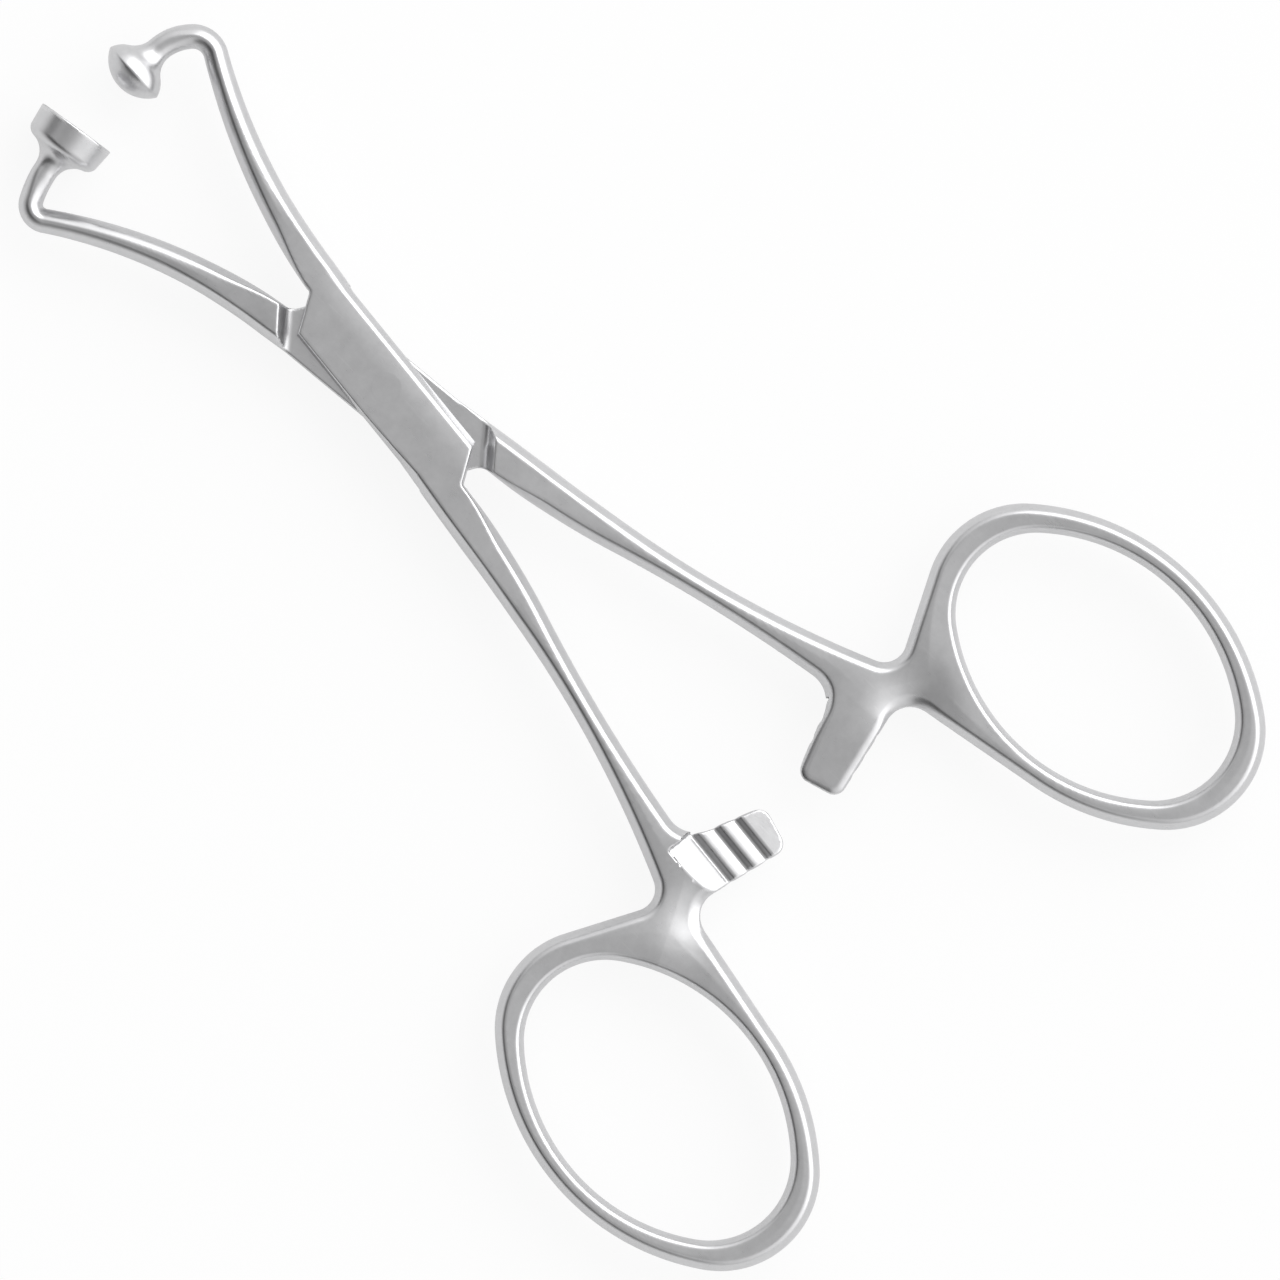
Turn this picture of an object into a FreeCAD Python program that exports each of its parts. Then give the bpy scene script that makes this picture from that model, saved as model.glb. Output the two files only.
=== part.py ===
import FreeCAD, Part

# Towel clamp, about 14 cm closed: two forged halves cross in a box lock on a flush pin.
# One half carries the box and ends in a ball, the other carries the tongue and ends in a cup.
# Both come from one forging shape: half a turn about +Y takes one blank to the other, so the
# teeth of the two ratchet bars face each other.
#
# Frame, millimetres: the origin is on the pivot axis at the underside of the lock,
# +Y runs to the jaws between the two halves, +Z runs up along the pivot.
# Each blank is drawn closed and level about the lock's middle plane, jaw at -X and shank at +X,
# then opened to the stored pose and lifted onto the frame.

import math
import os

from FreeCAD import Placement, Rotation, Vector

# Pose: angle between the halves as stored, counted from the closed clamp.
OPEN_ANGLE = 11.2

# Box lock. The slant is that of the plate ends and shoulders from square.
LOCK_WIDTH = 7.5
LOCK_THICKNESS = 4.8
LOCK_EDGE_RADIUS = 1.2
LOCK_SLANT = 35.0
SHOULDER_REACH = 10.6
SHOULDER_COVE = 1.0
LOCK_END_GAP = 0.3
TONGUE_CROTCH_RADIUS = 1.5
BOX_CROTCH_RADIUS = 0.4
TONGUE_THICKNESS = 1.8
TONGUE_CLEARANCE = 0.05
PIN_RADIUS = 1.6
PIN_CLEARANCE = 0.04

# Arms: where the jaw and the shank of each half leave the lock, counted from the middle line.
ARM_ROOT_INSET = 0.1
ARM_LEAD = 3.6

# Edges: the sides that a full turn of a rounded edge is cut in, and its largest share of a width.
EDGE_SIDES = 16
EDGE_SHARE = 0.46

# Jaws: from the lock, bowed outwards and narrowing to the hook that carries the tip.
JAW_ROOT_WIDTH = 3.85
JAW_TAPER_POWER = 1.25
JAW_REACH = 37.8
BALL_BEND_DROP = 0.4
CUP_JAW_OFFSET = 9.15
BALL_JAW_OFFSET = 8.0
NECK_WIDTH = 2.6
NECK_THICKNESS = 2.7
HOOK_RISE = 3.5

# Tips on one axis, which leans from square to the middle line. The offset is that of the meeting plane.
TIP_OFFSET = 0.3
TIP_LEAN = 3.5
NECK_OVERLAP = 0.3
BALL_RADIUS = 3.5
BALL_HEIGHT = 2.05
BALL_RIM_BEVEL = 0.2
FLARE_STEPS = 3
BALL_FLARE_LENGTH = 3.6
BALL_FLARE_TURN = (0.56, 0.48)
CUP_CLEARANCE = 0.3
CUP_WALL = 0.44
CUP_RIM_LENGTH = 2.4
CUP_RIM_TAPER = 0.25
CUP_RIM_CHAMFER = 0.2
CUP_FLARE_LENGTH = 3.0
CUP_FLARE_TURN = (0.73, 0.66)

# Shanks: a swell thins them down from the lock, then they are one plate with the bow.
SHANK_ROOT_WIDTH = 4.1
SHANK_REACH = 28.0
SHANK_OFFSET = 3.45
SHANK_HEADING = 8.4
SHANK_WIDTH = 3.3
SHANK_INNER_BOW = 0.5
SHANK_OUTER_BOW = 1.0

# Bow: the finger ring and the web at its root. Both ring outlines are ovals of four arcs.
BOW_THICKNESS = 3.4
BOW_EDGE_RADIUS = 1.15
RING_OFFSET = 24.35
RING_REACH = 73.75
RING_OPENING_WIDTH = 22.1
RING_OPENING_LENGTH = 32.5
RING_OPENING_END_RADIUS = 8.2
RING_SIDE_BAND = 2.55
RING_END_BAND = 3.7
RING_END_RADIUS = 10.2
RING_TILT = -2.3
RING_WEB = 1.35
SHANK_CROTCH_SIDE = 13.0
SHANK_CROTCH_RISE = 15.4

# Ratchet bars, set above the ring's middle: both reach past the middle line when closed, crest above crest.
BOX_BAR_REACH = 2.75
TONGUE_BAR_REACH = 3.4
BAR_WIDTH = 5.0
BAR_RISE = 13.95
BAR_DROOP = 11.9
BAR_TAPER = 3.9
BAR_CROTCH_OFFSET = 5.35
BAR_CORNER_RADIUS = 1.4
RATCHET_GAP = 0.3
RATCHET_TEETH = 3
TOOTH_PITCH = 2.2
TOOTH_DEPTH = 0.7
TOOTH_FACE = 0.45
FIRST_TOOTH = -0.35
PAD_FALL = 0.3
RATCHET_RAMP = 2.9

# Blend radii in the bow's outline: shank to bar, bar to ring and shank to ring.
BAR_CROTCH_RADIUS = 3.2
RING_CROTCH_RADIUS = 2.8
SHANK_CROTCH_RADIUS = 2.2


def polar(angle, length=1.0):
    """Vector in the plane of the clamp, its angle in degrees from +X."""
    turn = math.radians(angle)
    return Vector(length * math.cos(turn), length * math.sin(turn), 0)


def meeting_point(start, direction, other_start, other_direction):
    """Point where two straight lines in the plane of the clamp cross."""
    gap = other_start - start
    cross = direction.x * other_direction.y - direction.y * other_direction.x
    along = (gap.x * other_direction.y - gap.y * other_direction.x) / cross
    return start + direction * along


def prism(face, low, high):
    """Solid from a flat face at height zero, from one height to another."""
    lower = face.copy()
    lower.translate(Vector(0, 0, low))
    return lower.extrude(Vector(0, 0, high - low))


def outline_prism(points, low, high):
    """Solid with straight sides through the given corners."""
    return prism(Part.Face(Part.makePolygon(points + [points[0]])), low, high)


def upright_edges(solid, corners):
    """Edges of a prism that stand on the given corners of its outline."""
    found = []
    for corner in corners:
        for edge in solid.Edges:
            first = edge.Vertexes[0].Point
            last = edge.Vertexes[-1].Point
            upright = abs(first.x - last.x) < 1e-6 and abs(first.y - last.y) < 1e-6
            if upright and math.hypot(first.x - corner.x, first.y - corner.y) < 1e-4:
                found.append(edge)
    return found


def half_turn(shape, axis):
    """Copy of a shape turned half a turn about an axis through the lock's centre."""
    turned = shape.copy()
    turned.rotate(Vector(0, 0, 0), axis, 180)
    return turned


def bevels(radius):
    """Setbacks of a wide bevel and of the narrow one on each side of it, about a rounded edge.

    The edge is a quarter of a regular polygon with EDGE_SIDES sides drawn round the circle.
    """
    wide = radius * (2 - math.sqrt(2))
    return wide, radius * (1 - math.tan(math.pi / EDGE_SIDES)) - wide


def arm_section(centre, heading, width, thickness, edge_radius):
    """Cross-section of an arm, square to its heading in degrees, each edge eased by three bevels."""
    wide, narrow = bevels(min(edge_radius, EDGE_SHARE * width, EDGE_SHARE * thickness))
    shift = narrow * math.sqrt(0.5)
    insets = [(0, wide + narrow), (shift, wide - shift), (wide - shift, shift), (wide + narrow, 0)]
    across = polar(heading - 90)
    points = []
    for side, level in ((1, 1), (-1, 1), (-1, -1), (1, -1)):
        for side_inset, level_inset in (insets if side == level else insets[::-1]):
            sideways = across * (side * (width / 2 - side_inset))
            points.append(centre + sideways + Vector(0, 0, level * (thickness / 2 - level_inset)))
    return Part.makePolygon(points + [points[0]])


def tangent_middle(start, heading, end):
    """Middle point of the arc that leaves start along a heading, in degrees, and runs to end."""
    chord = end - start
    bend = math.degrees(math.atan2(chord.y, chord.x)) - heading
    return start + polar(heading + bend / 2, chord.Length / 2 / math.cos(math.radians(bend / 2)))


def tangent_arc(start, heading, end):
    return Part.Arc(start, tangent_middle(start, heading, end), end).toShape()


def end_heading(start, heading, end):
    """Heading at the end of the arc that leaves start along a heading and runs to end."""
    chord = end - start
    return 2 * math.degrees(math.atan2(chord.y, chord.x)) - heading


def arm_stub(root, heading, width):
    """Start of an arm inside the lock, long enough to begin within the lock's sides."""
    outside = max(abs(root.x) + width / 2 - LOCK_WIDTH / 2, 0)
    start = root - polar(heading, LOCK_WIDTH / 2 + outside / math.sin(math.radians(ARM_LEAD)))
    section = arm_section(start, heading, width, LOCK_THICKNESS, LOCK_EDGE_RADIUS)
    return Part.Face(section).extrude(root - start)


def arm_root_reach():
    """Distance from the pivot at which the jaw and the shank leave the lock."""
    return SHOULDER_REACH + 2 * TONGUE_CROTCH_RADIUS


def jaw_root():
    return Vector(-(ARM_ROOT_INSET + JAW_ROOT_WIDTH / 2), arm_root_reach(), 0)


def shank_root():
    return Vector(ARM_ROOT_INSET + SHANK_ROOT_WIDTH / 2, -arm_root_reach(), 0)


def lock_block(crotch_radius):
    """Block of the lock with its ends cut on the slant, before the box or the tongue is cut."""
    reach = arm_root_reach() - SHANK_ROOT_WIDTH * math.sin(math.radians(ARM_LEAD))
    foot = arm_section(Vector(0, -reach, 0), 90, LOCK_WIDTH, LOCK_THICKNESS, LOCK_EDGE_RADIUS)
    block = Part.Face(foot).extrude(Vector(0, 2 * reach, 0))
    cutter = crotch_cutter(crotch_radius)
    return block.cut(cutter).cut(half_turn(cutter, Vector(0, 0, 1)))


def crotch_cutter(crotch_radius):
    """Takes away the block beyond its slanted end, beside the jaw, with a round crotch."""
    end = polar(90 - LOCK_SLANT, SHOULDER_REACH - LOCK_END_GAP)
    along_end = polar(180 - LOCK_SLANT)
    along_jaw = polar(90 + ARM_LEAD)
    jaw_side = Vector(-ARM_ROOT_INSET, arm_root_reach(), 0)
    crotch = meeting_point(end, along_end, jaw_side, along_jaw)
    far_end = crotch - along_end * (3 * LOCK_WIDTH)
    far_up = along_jaw * (3 * LOCK_WIDTH)
    corners = [crotch, far_end, far_end + far_up, crotch + far_up]
    cutter = outline_prism(corners, -LOCK_THICKNESS, LOCK_THICKNESS)
    return cutter.makeFillet(crotch_radius, upright_edges(cutter, [crotch]))


def lock_band(reach, level):
    """Outline of the strip between the two shoulders at one height, seen from above."""
    normal = polar(90 + LOCK_SLANT, reach)
    along = polar(LOCK_SLANT, 2 * LOCK_WIDTH)
    corners = [normal + along, normal - along, normal * -1 - along, normal * -1 + along]
    lifted = [corner + Vector(0, 0, level) for corner in corners]
    return Part.makePolygon(lifted + [lifted[0]])


def slot_cutter():
    """Slot of the box: the tongue's thickness and a clearance on each face."""
    half_height = TONGUE_THICKNESS / 2 + TONGUE_CLEARANCE
    wires = [lock_band(SHOULDER_REACH, -half_height), lock_band(SHOULDER_REACH, half_height)]
    return Part.makeLoft(wires, True, True)


def shoulder_cutter():
    """Frees the tongue's upper face and slopes its shoulders up to the full thickness."""
    low = TONGUE_THICKNESS / 2
    high = LOCK_THICKNESS / 2
    wires = [lock_band(SHOULDER_REACH, low), lock_band(SHOULDER_REACH + 2 * SHOULDER_COVE, 2 * high - low)]
    return Part.makeLoft(wires, True, True)


def tip_axis(side):
    """Rim centre and direction of the tip axis in a blank. Side is 1 for the cup, -1 for the ball."""
    return Vector(side * TIP_OFFSET, JAW_REACH + HOOK_RISE, 0), side * TIP_LEAN


def jaw(bend, side, neck_length):
    """Jaw arm with its hook at the bend, up to the neck that carries the tip."""
    root = jaw_root()
    lead = 90 + ARM_LEAD
    curve = Part.Arc(root, tangent_middle(root, lead, bend), bend)
    sections = []
    for share in (0.0, 0.25, 0.5, 0.75, 1.0):
        centre = curve.value(curve.FirstParameter + share * (curve.LastParameter - curve.FirstParameter))
        width = NECK_WIDTH + (JAW_ROOT_WIDTH - NECK_WIDTH) * (1 - share) ** JAW_TAPER_POWER
        thickness = NECK_THICKNESS + (LOCK_THICKNESS - NECK_THICKNESS) * (1 - share)
        heading = end_heading(root, lead, centre) if share else lead
        sections.append(arm_section(centre, heading, width, thickness, LOCK_EDGE_RADIUS))
    body = Part.makeLoft(sections, True, False)

    tip, lean = tip_axis(side)
    neck_end = tip - polar(lean, neck_length - NECK_OVERLAP)
    path = hook_path(bend, end_heading(root, lead, bend), neck_end, lean)
    hook = path.makePipeShell([sections[-1]], True, False)
    return [arm_stub(root, lead, JAW_ROOT_WIDTH), body, hook]


def hook_path(start, start_heading, end, heading):
    """Two arcs that run from one point and heading smoothly into another."""
    lead = polar(start_heading)
    trail = polar(heading)
    span = end - start
    along = span.dot(lead + trail)
    spread = 2 * (1 - lead.dot(trail))
    reach = (math.sqrt(along ** 2 + spread * span.dot(span)) - along) / spread
    joint = (start + lead * reach + end - trail * reach) * 0.5
    first = tangent_arc(start, start_heading, joint)
    return Part.Wire([first, tangent_arc(joint, end_heading(start, start_heading, joint), end)])


def flare_edges(start, length, rim_radius, turn):
    """Profile of the flare from the neck to a rim: hollow, then full from the turning point."""
    neck = NECK_WIDTH / 2
    neck_edge = Vector(start, neck, 0)
    turning = Vector(start + length * turn[0], neck + (rim_radius - neck) * turn[1], 0)
    rim = Vector(start + length, rim_radius, 0)
    hollow = tangent_arc(neck_edge, 0, turning)
    full = tangent_arc(turning, end_heading(neck_edge, 0, turning), rim)
    points = hollow.discretize(FLARE_STEPS + 1) + full.discretize(FLARE_STEPS + 1)[1:]
    return [Part.makeLine(first, last) for first, last in zip(points, points[1:])]


def spin(profile_edges):
    """Solid of revolution about +X from edges drawn above it."""
    return Part.Face(Part.Wire(profile_edges)).revolve(Vector(0, 0, 0), Vector(1, 0, 0), 360)


def set_on_tip(solid, side):
    """Puts a spun solid on the tip axis, its rim plane at the tip."""
    tip, lean = tip_axis(side)
    solid.Placement = Placement(tip, Rotation(Vector(0, 0, 1), lean))
    return solid


def ball_sphere_radius():
    """Radius of the sphere whose cap is the ball's dome."""
    return (BALL_RADIUS ** 2 + BALL_HEIGHT ** 2) / (2 * BALL_HEIGHT)


def ball_tip():
    """Domed ball with a bevelled rim and the flare behind it."""
    dome_radius = ball_sphere_radius()
    centre = BALL_HEIGHT - dome_radius
    middle = math.asin(BALL_RADIUS / dome_radius) / 2
    dome_middle = Vector(centre + dome_radius * math.cos(middle), dome_radius * math.sin(middle), 0)
    back = Vector(-BALL_FLARE_LENGTH, 0, 0)
    neck_edge = Vector(-BALL_FLARE_LENGTH, NECK_WIDTH / 2, 0)
    rim = Vector(0, BALL_RADIUS, 0)
    apex = Vector(BALL_HEIGHT, 0, 0)
    flare = flare_edges(-BALL_FLARE_LENGTH, BALL_FLARE_LENGTH, BALL_RADIUS, BALL_FLARE_TURN)
    dome = Part.Arc(rim, dome_middle, apex).toShape()
    ball = spin([Part.makeLine(back, neck_edge)] + flare + [dome, Part.makeLine(apex, back)])
    rims = [edge for edge in ball.Edges if edge.BoundBox.XLength < 1e-6 and abs(edge.CenterOfMass.x) < 1e-6]
    return set_on_tip(ball.makeChamfer(BALL_RIM_BEVEL, rims), -1)


def cup_tip():
    """Cup with a tapered rim and a flare, hollowed to the ball and its clearance."""
    hollow_radius = ball_sphere_radius() + CUP_CLEARANCE
    hollow_centre = ball_sphere_radius() - BALL_HEIGHT
    rim_radius = math.sqrt(hollow_radius ** 2 - hollow_centre ** 2) + CUP_WALL
    back = Vector(-CUP_RIM_LENGTH - CUP_FLARE_LENGTH, 0, 0)
    neck_edge = Vector(back.x, NECK_WIDTH / 2, 0)
    rim_back = Vector(-CUP_RIM_LENGTH, rim_radius - CUP_RIM_TAPER, 0)
    rim_front = Vector(-CUP_RIM_CHAMFER, rim_radius, 0)
    face_edge = Vector(0, rim_radius - CUP_RIM_CHAMFER, 0)
    face_centre = Vector(0, 0, 0)
    flare = flare_edges(back.x, CUP_FLARE_LENGTH, rim_back.y, CUP_FLARE_TURN)
    edges = [Part.makeLine(back, neck_edge)] + flare + [
        Part.makeLine(rim_back, rim_front),
        Part.makeLine(rim_front, face_edge),
        Part.makeLine(face_edge, face_centre),
        Part.makeLine(face_centre, back),
    ]
    tip, lean = tip_axis(1)
    hollow = Part.makeSphere(hollow_radius)
    hollow.translate(tip + polar(lean, hollow_centre))
    return set_on_tip(spin(edges), 1).cut(hollow)


def bow_edge_radius():
    """Edge rounding of the bow and the shank, kept within the ring's band and thickness."""
    return min(BOW_EDGE_RADIUS, EDGE_SHARE * RING_SIDE_BAND, EDGE_SHARE * BOW_THICKNESS)


def shank_joint():
    """Middle of the section where the shank's swell has run out, and the shank's heading there."""
    return Vector(SHANK_OFFSET, -SHANK_REACH, 0), SHANK_HEADING - 90


def oval(width, length, end_radius):
    """Centres and radii of the four arcs of an oval about the ring's centre, as a mapping.

    The ends are the arcs across its long axis; the sides are the flatter ones between them.
    """
    half_width = width / 2
    end_shift = length / 2 - end_radius
    side_radius = (half_width ** 2 + end_shift ** 2 - end_radius ** 2) / (2 * (half_width - end_radius))
    side_shift = side_radius - half_width
    centre = Vector(RING_OFFSET, -RING_REACH, 0)
    return {
        "split": math.degrees(math.atan2(end_shift, side_shift)),
        "top": (centre + polar(90 + RING_TILT, end_shift), end_radius),
        "bottom": (centre - polar(90 + RING_TILT, end_shift), end_radius),
        "left": (centre + polar(RING_TILT, side_shift), side_radius),
        "right": (centre - polar(RING_TILT, side_shift), side_radius),
    }


def oval_arc(circle, first, last):
    """Arc of a circle between two angles in degrees, counted from the ring's own short axis."""
    centre, radius = circle
    points = [centre + polar(RING_TILT + angle, radius) for angle in (first, (first + last) / 2, last)]
    return Part.Arc(points[0], points[1], points[2]).toShape()


def touching_angle(circle, point, side):
    """Angle at which a line from a point outside touches a circle, from the ring's short axis."""
    centre, radius = circle
    offset = point - centre
    towards = math.degrees(math.atan2(offset.y, offset.x)) - RING_TILT
    return towards % 360 + side * math.degrees(math.acos(radius / offset.Length))


def ring_opening():
    """Prism of the finger ring's opening."""
    shape = oval(RING_OPENING_WIDTH, RING_OPENING_LENGTH, RING_OPENING_END_RADIUS)
    split = shape["split"]
    edges = [
        oval_arc(shape["right"], -split, split),
        oval_arc(shape["top"], split, 180 - split),
        oval_arc(shape["left"], 180 - split, 180 + split),
        oval_arc(shape["bottom"], 180 + split, 360 - split),
    ]
    return prism(Part.Face(Part.Wire(edges)), -BOW_THICKNESS, BOW_THICKNESS)


def bow_plate(bar_reach):
    """Shank, web, ring and ratchet bar as one plate with blended crotches and square edges."""
    start, heading = shank_joint()
    across = polar(heading + 90)
    inner_start = start - across * (SHANK_WIDTH / 2)
    outer_start = start + across * (SHANK_WIDTH / 2)
    ring_width = RING_OPENING_WIDTH + 2 * RING_SIDE_BAND
    shape = oval(ring_width, RING_OPENING_LENGTH + 2 * RING_END_BAND, RING_END_RADIUS)
    split = shape["split"]

    bar_tip = Vector(-bar_reach, BAR_RISE - RING_REACH, 0)
    bar_upper = bar_tip + polar(BAR_DROOP + 90, BAR_WIDTH / 2)
    bar_lower = bar_tip - polar(BAR_DROOP + 90, BAR_WIDTH / 2)
    upright = Vector(0, 1, 0)
    bar_side = Vector(BAR_CROTCH_OFFSET, 0, 0)
    bar_crotch = meeting_point(bar_upper, polar(BAR_DROOP + BAR_TAPER), bar_side, upright)
    ring_side = Vector(RING_OFFSET - ring_width / 2 - RING_WEB, 0, 0)
    ring_crotch = meeting_point(bar_lower, polar(BAR_DROOP - BAR_TAPER), ring_side, upright)
    shank_crotch = Vector(RING_OFFSET - SHANK_CROTCH_SIDE, SHANK_CROTCH_RISE - RING_REACH, 0)
    inner_middle = (inner_start + bar_crotch) * 0.5 + across * SHANK_INNER_BOW
    outer_middle = (outer_start + shank_crotch) * 0.5 - across * SHANK_OUTER_BOW

    left = touching_angle(shape["left"], ring_crotch, 1)
    top = touching_angle(shape["top"], shank_crotch, -1)
    left_arc = oval_arc(shape["left"], left, 180 + split)
    top_arc = oval_arc(shape["top"], split, top)
    outline = Part.Wire([
        Part.Arc(inner_start, inner_middle, bar_crotch).toShape(),
        Part.makeLine(bar_crotch, bar_upper),
        Part.makeLine(bar_upper, bar_lower),
        Part.makeLine(bar_lower, ring_crotch),
        Part.makeLine(ring_crotch, left_arc.firstVertex().Point),
        left_arc,
        oval_arc(shape["bottom"], 180 + split, 360 - split),
        oval_arc(shape["right"], -split, split),
        top_arc,
        Part.makeLine(top_arc.lastVertex().Point, shank_crotch),
        Part.Arc(shank_crotch, outer_middle, outer_start).toShape(),
        Part.makeLine(outer_start, inner_start),
    ])
    plate = prism(Part.Face(outline), -BOW_THICKNESS / 2, BOW_THICKNESS / 2)
    blends = (
        (BAR_CROTCH_RADIUS, [bar_crotch]),
        (RING_CROTCH_RADIUS, [ring_crotch]),
        (SHANK_CROTCH_RADIUS, [shank_crotch]),
        (BAR_CORNER_RADIUS, [bar_upper, bar_lower]),
    )
    for radius, corners in blends:
        plate = plate.makeFillet(radius, upright_edges(plate, corners))
    return plate.cut(ring_opening())


def level_edges(plate, heights):
    """Level edges at the given heights above or below the middle, except across the shank's joint."""
    joint, heading = shank_joint()
    found = []
    for edge in plate.Edges:
        level = edge.BoundBox.ZLength < 1e-5
        middle = edge.valueAt((edge.FirstParameter + edge.LastParameter) / 2)
        at_joint = abs((middle - joint).dot(polar(heading))) < 1e-3
        if level and not at_joint and any(abs(abs(middle.z) - height) < 1e-4 for height in heights):
            found.append(edge)
    return found


def shank_and_bow(bar_reach):
    """Shank and bow with all rims eased, and the swell that joins them to the lock."""
    wide, narrow = bevels(bow_edge_radius())
    plate = bow_plate(bar_reach)
    plate = plate.makeChamfer(wide, level_edges(plate, [BOW_THICKNESS / 2]))
    plate = plate.makeChamfer(narrow, level_edges(plate, [BOW_THICKNESS / 2, BOW_THICKNESS / 2 - wide]))
    joint = shank_joint()[0]
    joint_face = min(plate.Faces, key=lambda face: (face.CenterOfMass - joint).Length)
    root = shank_root()
    lead = ARM_LEAD - 90
    root_section = arm_section(root, lead, SHANK_ROOT_WIDTH, LOCK_THICKNESS, LOCK_EDGE_RADIUS)
    swell = Part.makeLoft([root_section, joint_face.OuterWire], True, True)
    return [arm_stub(root, lead, SHANK_ROOT_WIDTH), swell, plate.cut(ratchet_cutter(bar_reach))]


def ratchet_cutter(bar_reach):
    """Lowers the bar's underside to the crest plane and cuts its teeth, steep towards the shank."""
    crest = RATCHET_GAP / 2
    below = -BOW_THICKNESS
    profile = [Vector(-2 * bar_reach, 0, below), Vector(-2 * bar_reach, 0, crest + PAD_FALL)]
    for tooth in range(RATCHET_TEETH):
        steep_face = FIRST_TOOTH + tooth * TOOTH_PITCH
        profile.append(Vector(steep_face, 0, crest))
        profile.append(Vector(steep_face + TOOTH_FACE, 0, crest + TOOTH_DEPTH))
    ramp_end = profile[-1].x + RATCHET_RAMP
    profile.append(Vector(ramp_end, 0, -BOW_THICKNESS / 2))
    profile.append(Vector(ramp_end, 0, below))
    face = Part.Face(Part.makePolygon(profile + [profile[0]]))
    face.translate(Vector(0, BAR_RISE - RING_REACH - BAR_WIDTH, 0))
    return face.extrude(Vector(0, 2 * BAR_WIDTH, 0))


def blank(crotch_radius, jaw_arm, tip, bar_reach):
    """One half before its lock is cut, drawn closed with its teeth underneath."""
    return lock_block(crotch_radius).multiFuse(jaw_arm + [tip] + shank_and_bow(bar_reach)).removeSplitter()


def pivot_cylinder(radius):
    """Cylinder on the pivot axis, through the lock's full thickness."""
    return Part.makeCylinder(radius, LOCK_THICKNESS, Vector(0, 0, -LOCK_THICKNESS / 2))


def tongue_half():
    """Half with the thin tongue and the cup."""
    arm = jaw(Vector(-CUP_JAW_OFFSET, JAW_REACH, 0), 1, CUP_RIM_LENGTH + CUP_FLARE_LENGTH)
    half = blank(TONGUE_CROTCH_RADIUS, arm, cup_tip(), TONGUE_BAR_REACH)
    upper = shoulder_cutter()
    lower = upper.mirror(Vector(0, 0, 0), Vector(0, 0, 1))
    return half.cut(upper).cut(lower).cut(pivot_cylinder(PIN_RADIUS + PIN_CLEARANCE))


def box_half():
    """Half with the slotted box and the ball."""
    arm = jaw(Vector(-BALL_JAW_OFFSET, JAW_REACH - BALL_BEND_DROP, 0), -1, BALL_FLARE_LENGTH)
    half = blank(BOX_CROTCH_RADIUS, arm, ball_tip(), BOX_BAR_REACH)
    half = half.cut(slot_cutter()).cut(pivot_cylinder(PIN_RADIUS))
    return half_turn(half, Vector(0, 1, 0))


def placed(piece, angle):
    """Piece turned about the pivot and lifted so that the lock's underside is at height zero."""
    moved = piece.copy()
    moved.rotate(Vector(0, 0, 0), Vector(0, 0, 1), angle)
    moved.translate(Vector(0, 0, LOCK_THICKNESS / 2))
    return moved


nodes = {
    "box_half": placed(box_half(), -OPEN_ANGLE / 2),
    "tongue_half": placed(tongue_half(), OPEN_ANGLE / 2),
    "pivot_pin": placed(pivot_cylinder(PIN_RADIUS), 0),
}

os.makedirs("parts", exist_ok=True)
for name, shape in nodes.items():
    print(name, "valid", shape.isValid(), "solids", len(shape.Solids), "volume", round(shape.Volume, 1))
    shape.exportStep("parts/" + name + ".step")
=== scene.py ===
import math

import bpy
import numpy as np
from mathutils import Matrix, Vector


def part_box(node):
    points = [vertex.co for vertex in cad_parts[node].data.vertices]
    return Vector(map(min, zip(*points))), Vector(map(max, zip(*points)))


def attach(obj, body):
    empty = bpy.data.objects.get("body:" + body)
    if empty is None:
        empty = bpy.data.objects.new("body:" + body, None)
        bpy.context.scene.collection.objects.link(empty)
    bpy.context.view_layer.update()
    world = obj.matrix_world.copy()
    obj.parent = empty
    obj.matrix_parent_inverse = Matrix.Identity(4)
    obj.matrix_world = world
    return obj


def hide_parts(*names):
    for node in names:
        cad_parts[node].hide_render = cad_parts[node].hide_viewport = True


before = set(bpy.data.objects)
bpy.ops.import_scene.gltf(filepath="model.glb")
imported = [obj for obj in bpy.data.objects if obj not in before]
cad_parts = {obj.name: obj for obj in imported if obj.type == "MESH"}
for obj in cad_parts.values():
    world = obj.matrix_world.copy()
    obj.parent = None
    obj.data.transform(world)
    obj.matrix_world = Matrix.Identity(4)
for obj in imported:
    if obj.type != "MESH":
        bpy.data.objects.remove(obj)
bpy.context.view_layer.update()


# The lock: the thick middle of each forging, a block of stainless steel ground flat on both faces.
# Its two ends are cut on a slant, and beside each the block runs on as an arm, jaw or shank.
# Each half is drawn closed and level, jaw at -X and shank at +X, in millimetres about the pivot.

lock_width = 7.5
lock_thickness = 4.8
lock_slant = 35.0
plate_end_reach = 10.3
arm_root = 13.6
arm_inset = 0.1
arm_lead = 3.6
shank_root_width = 4.1
box_crotch_radius = 0.4
tongue_crotch_radius = 1.5
lock_bevel = 0.8
lock_bevel_loss = 0.45
lock_bevel_depth = 1.3
lock_end_bevel = 0.16
ground_softness = 0.27
ground_softness_loss = 0.1
side_softness = 0.3
end_softness = 0.3
crisp_across = -0.5, 0.5
crisp_along = 0, 13
face_fall = 0.03
face_fall_start = 0.5
face_fall_fade = 8, 20
far_off = 30
blend_rounds = 20


def way(angle, length=1.0):
    """Vector in the clamp's plane, its angle in degrees from +X."""
    return length * np.array([math.cos(math.radians(angle)), math.sin(math.radians(angle))])


def angle_of(vector):
    """Angle of a vector in degrees from +X."""
    return math.degrees(math.atan2(vector[1], vector[0]))


def crossing(start, direction, other_start, other_direction):
    """Point where two straight lines cross."""
    gap = other_start - start
    cross = direction[0] * other_direction[1] - direction[1] * other_direction[0]
    return start + direction * (gap[0] * other_direction[1] - gap[1] * other_direction[0]) / cross


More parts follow.
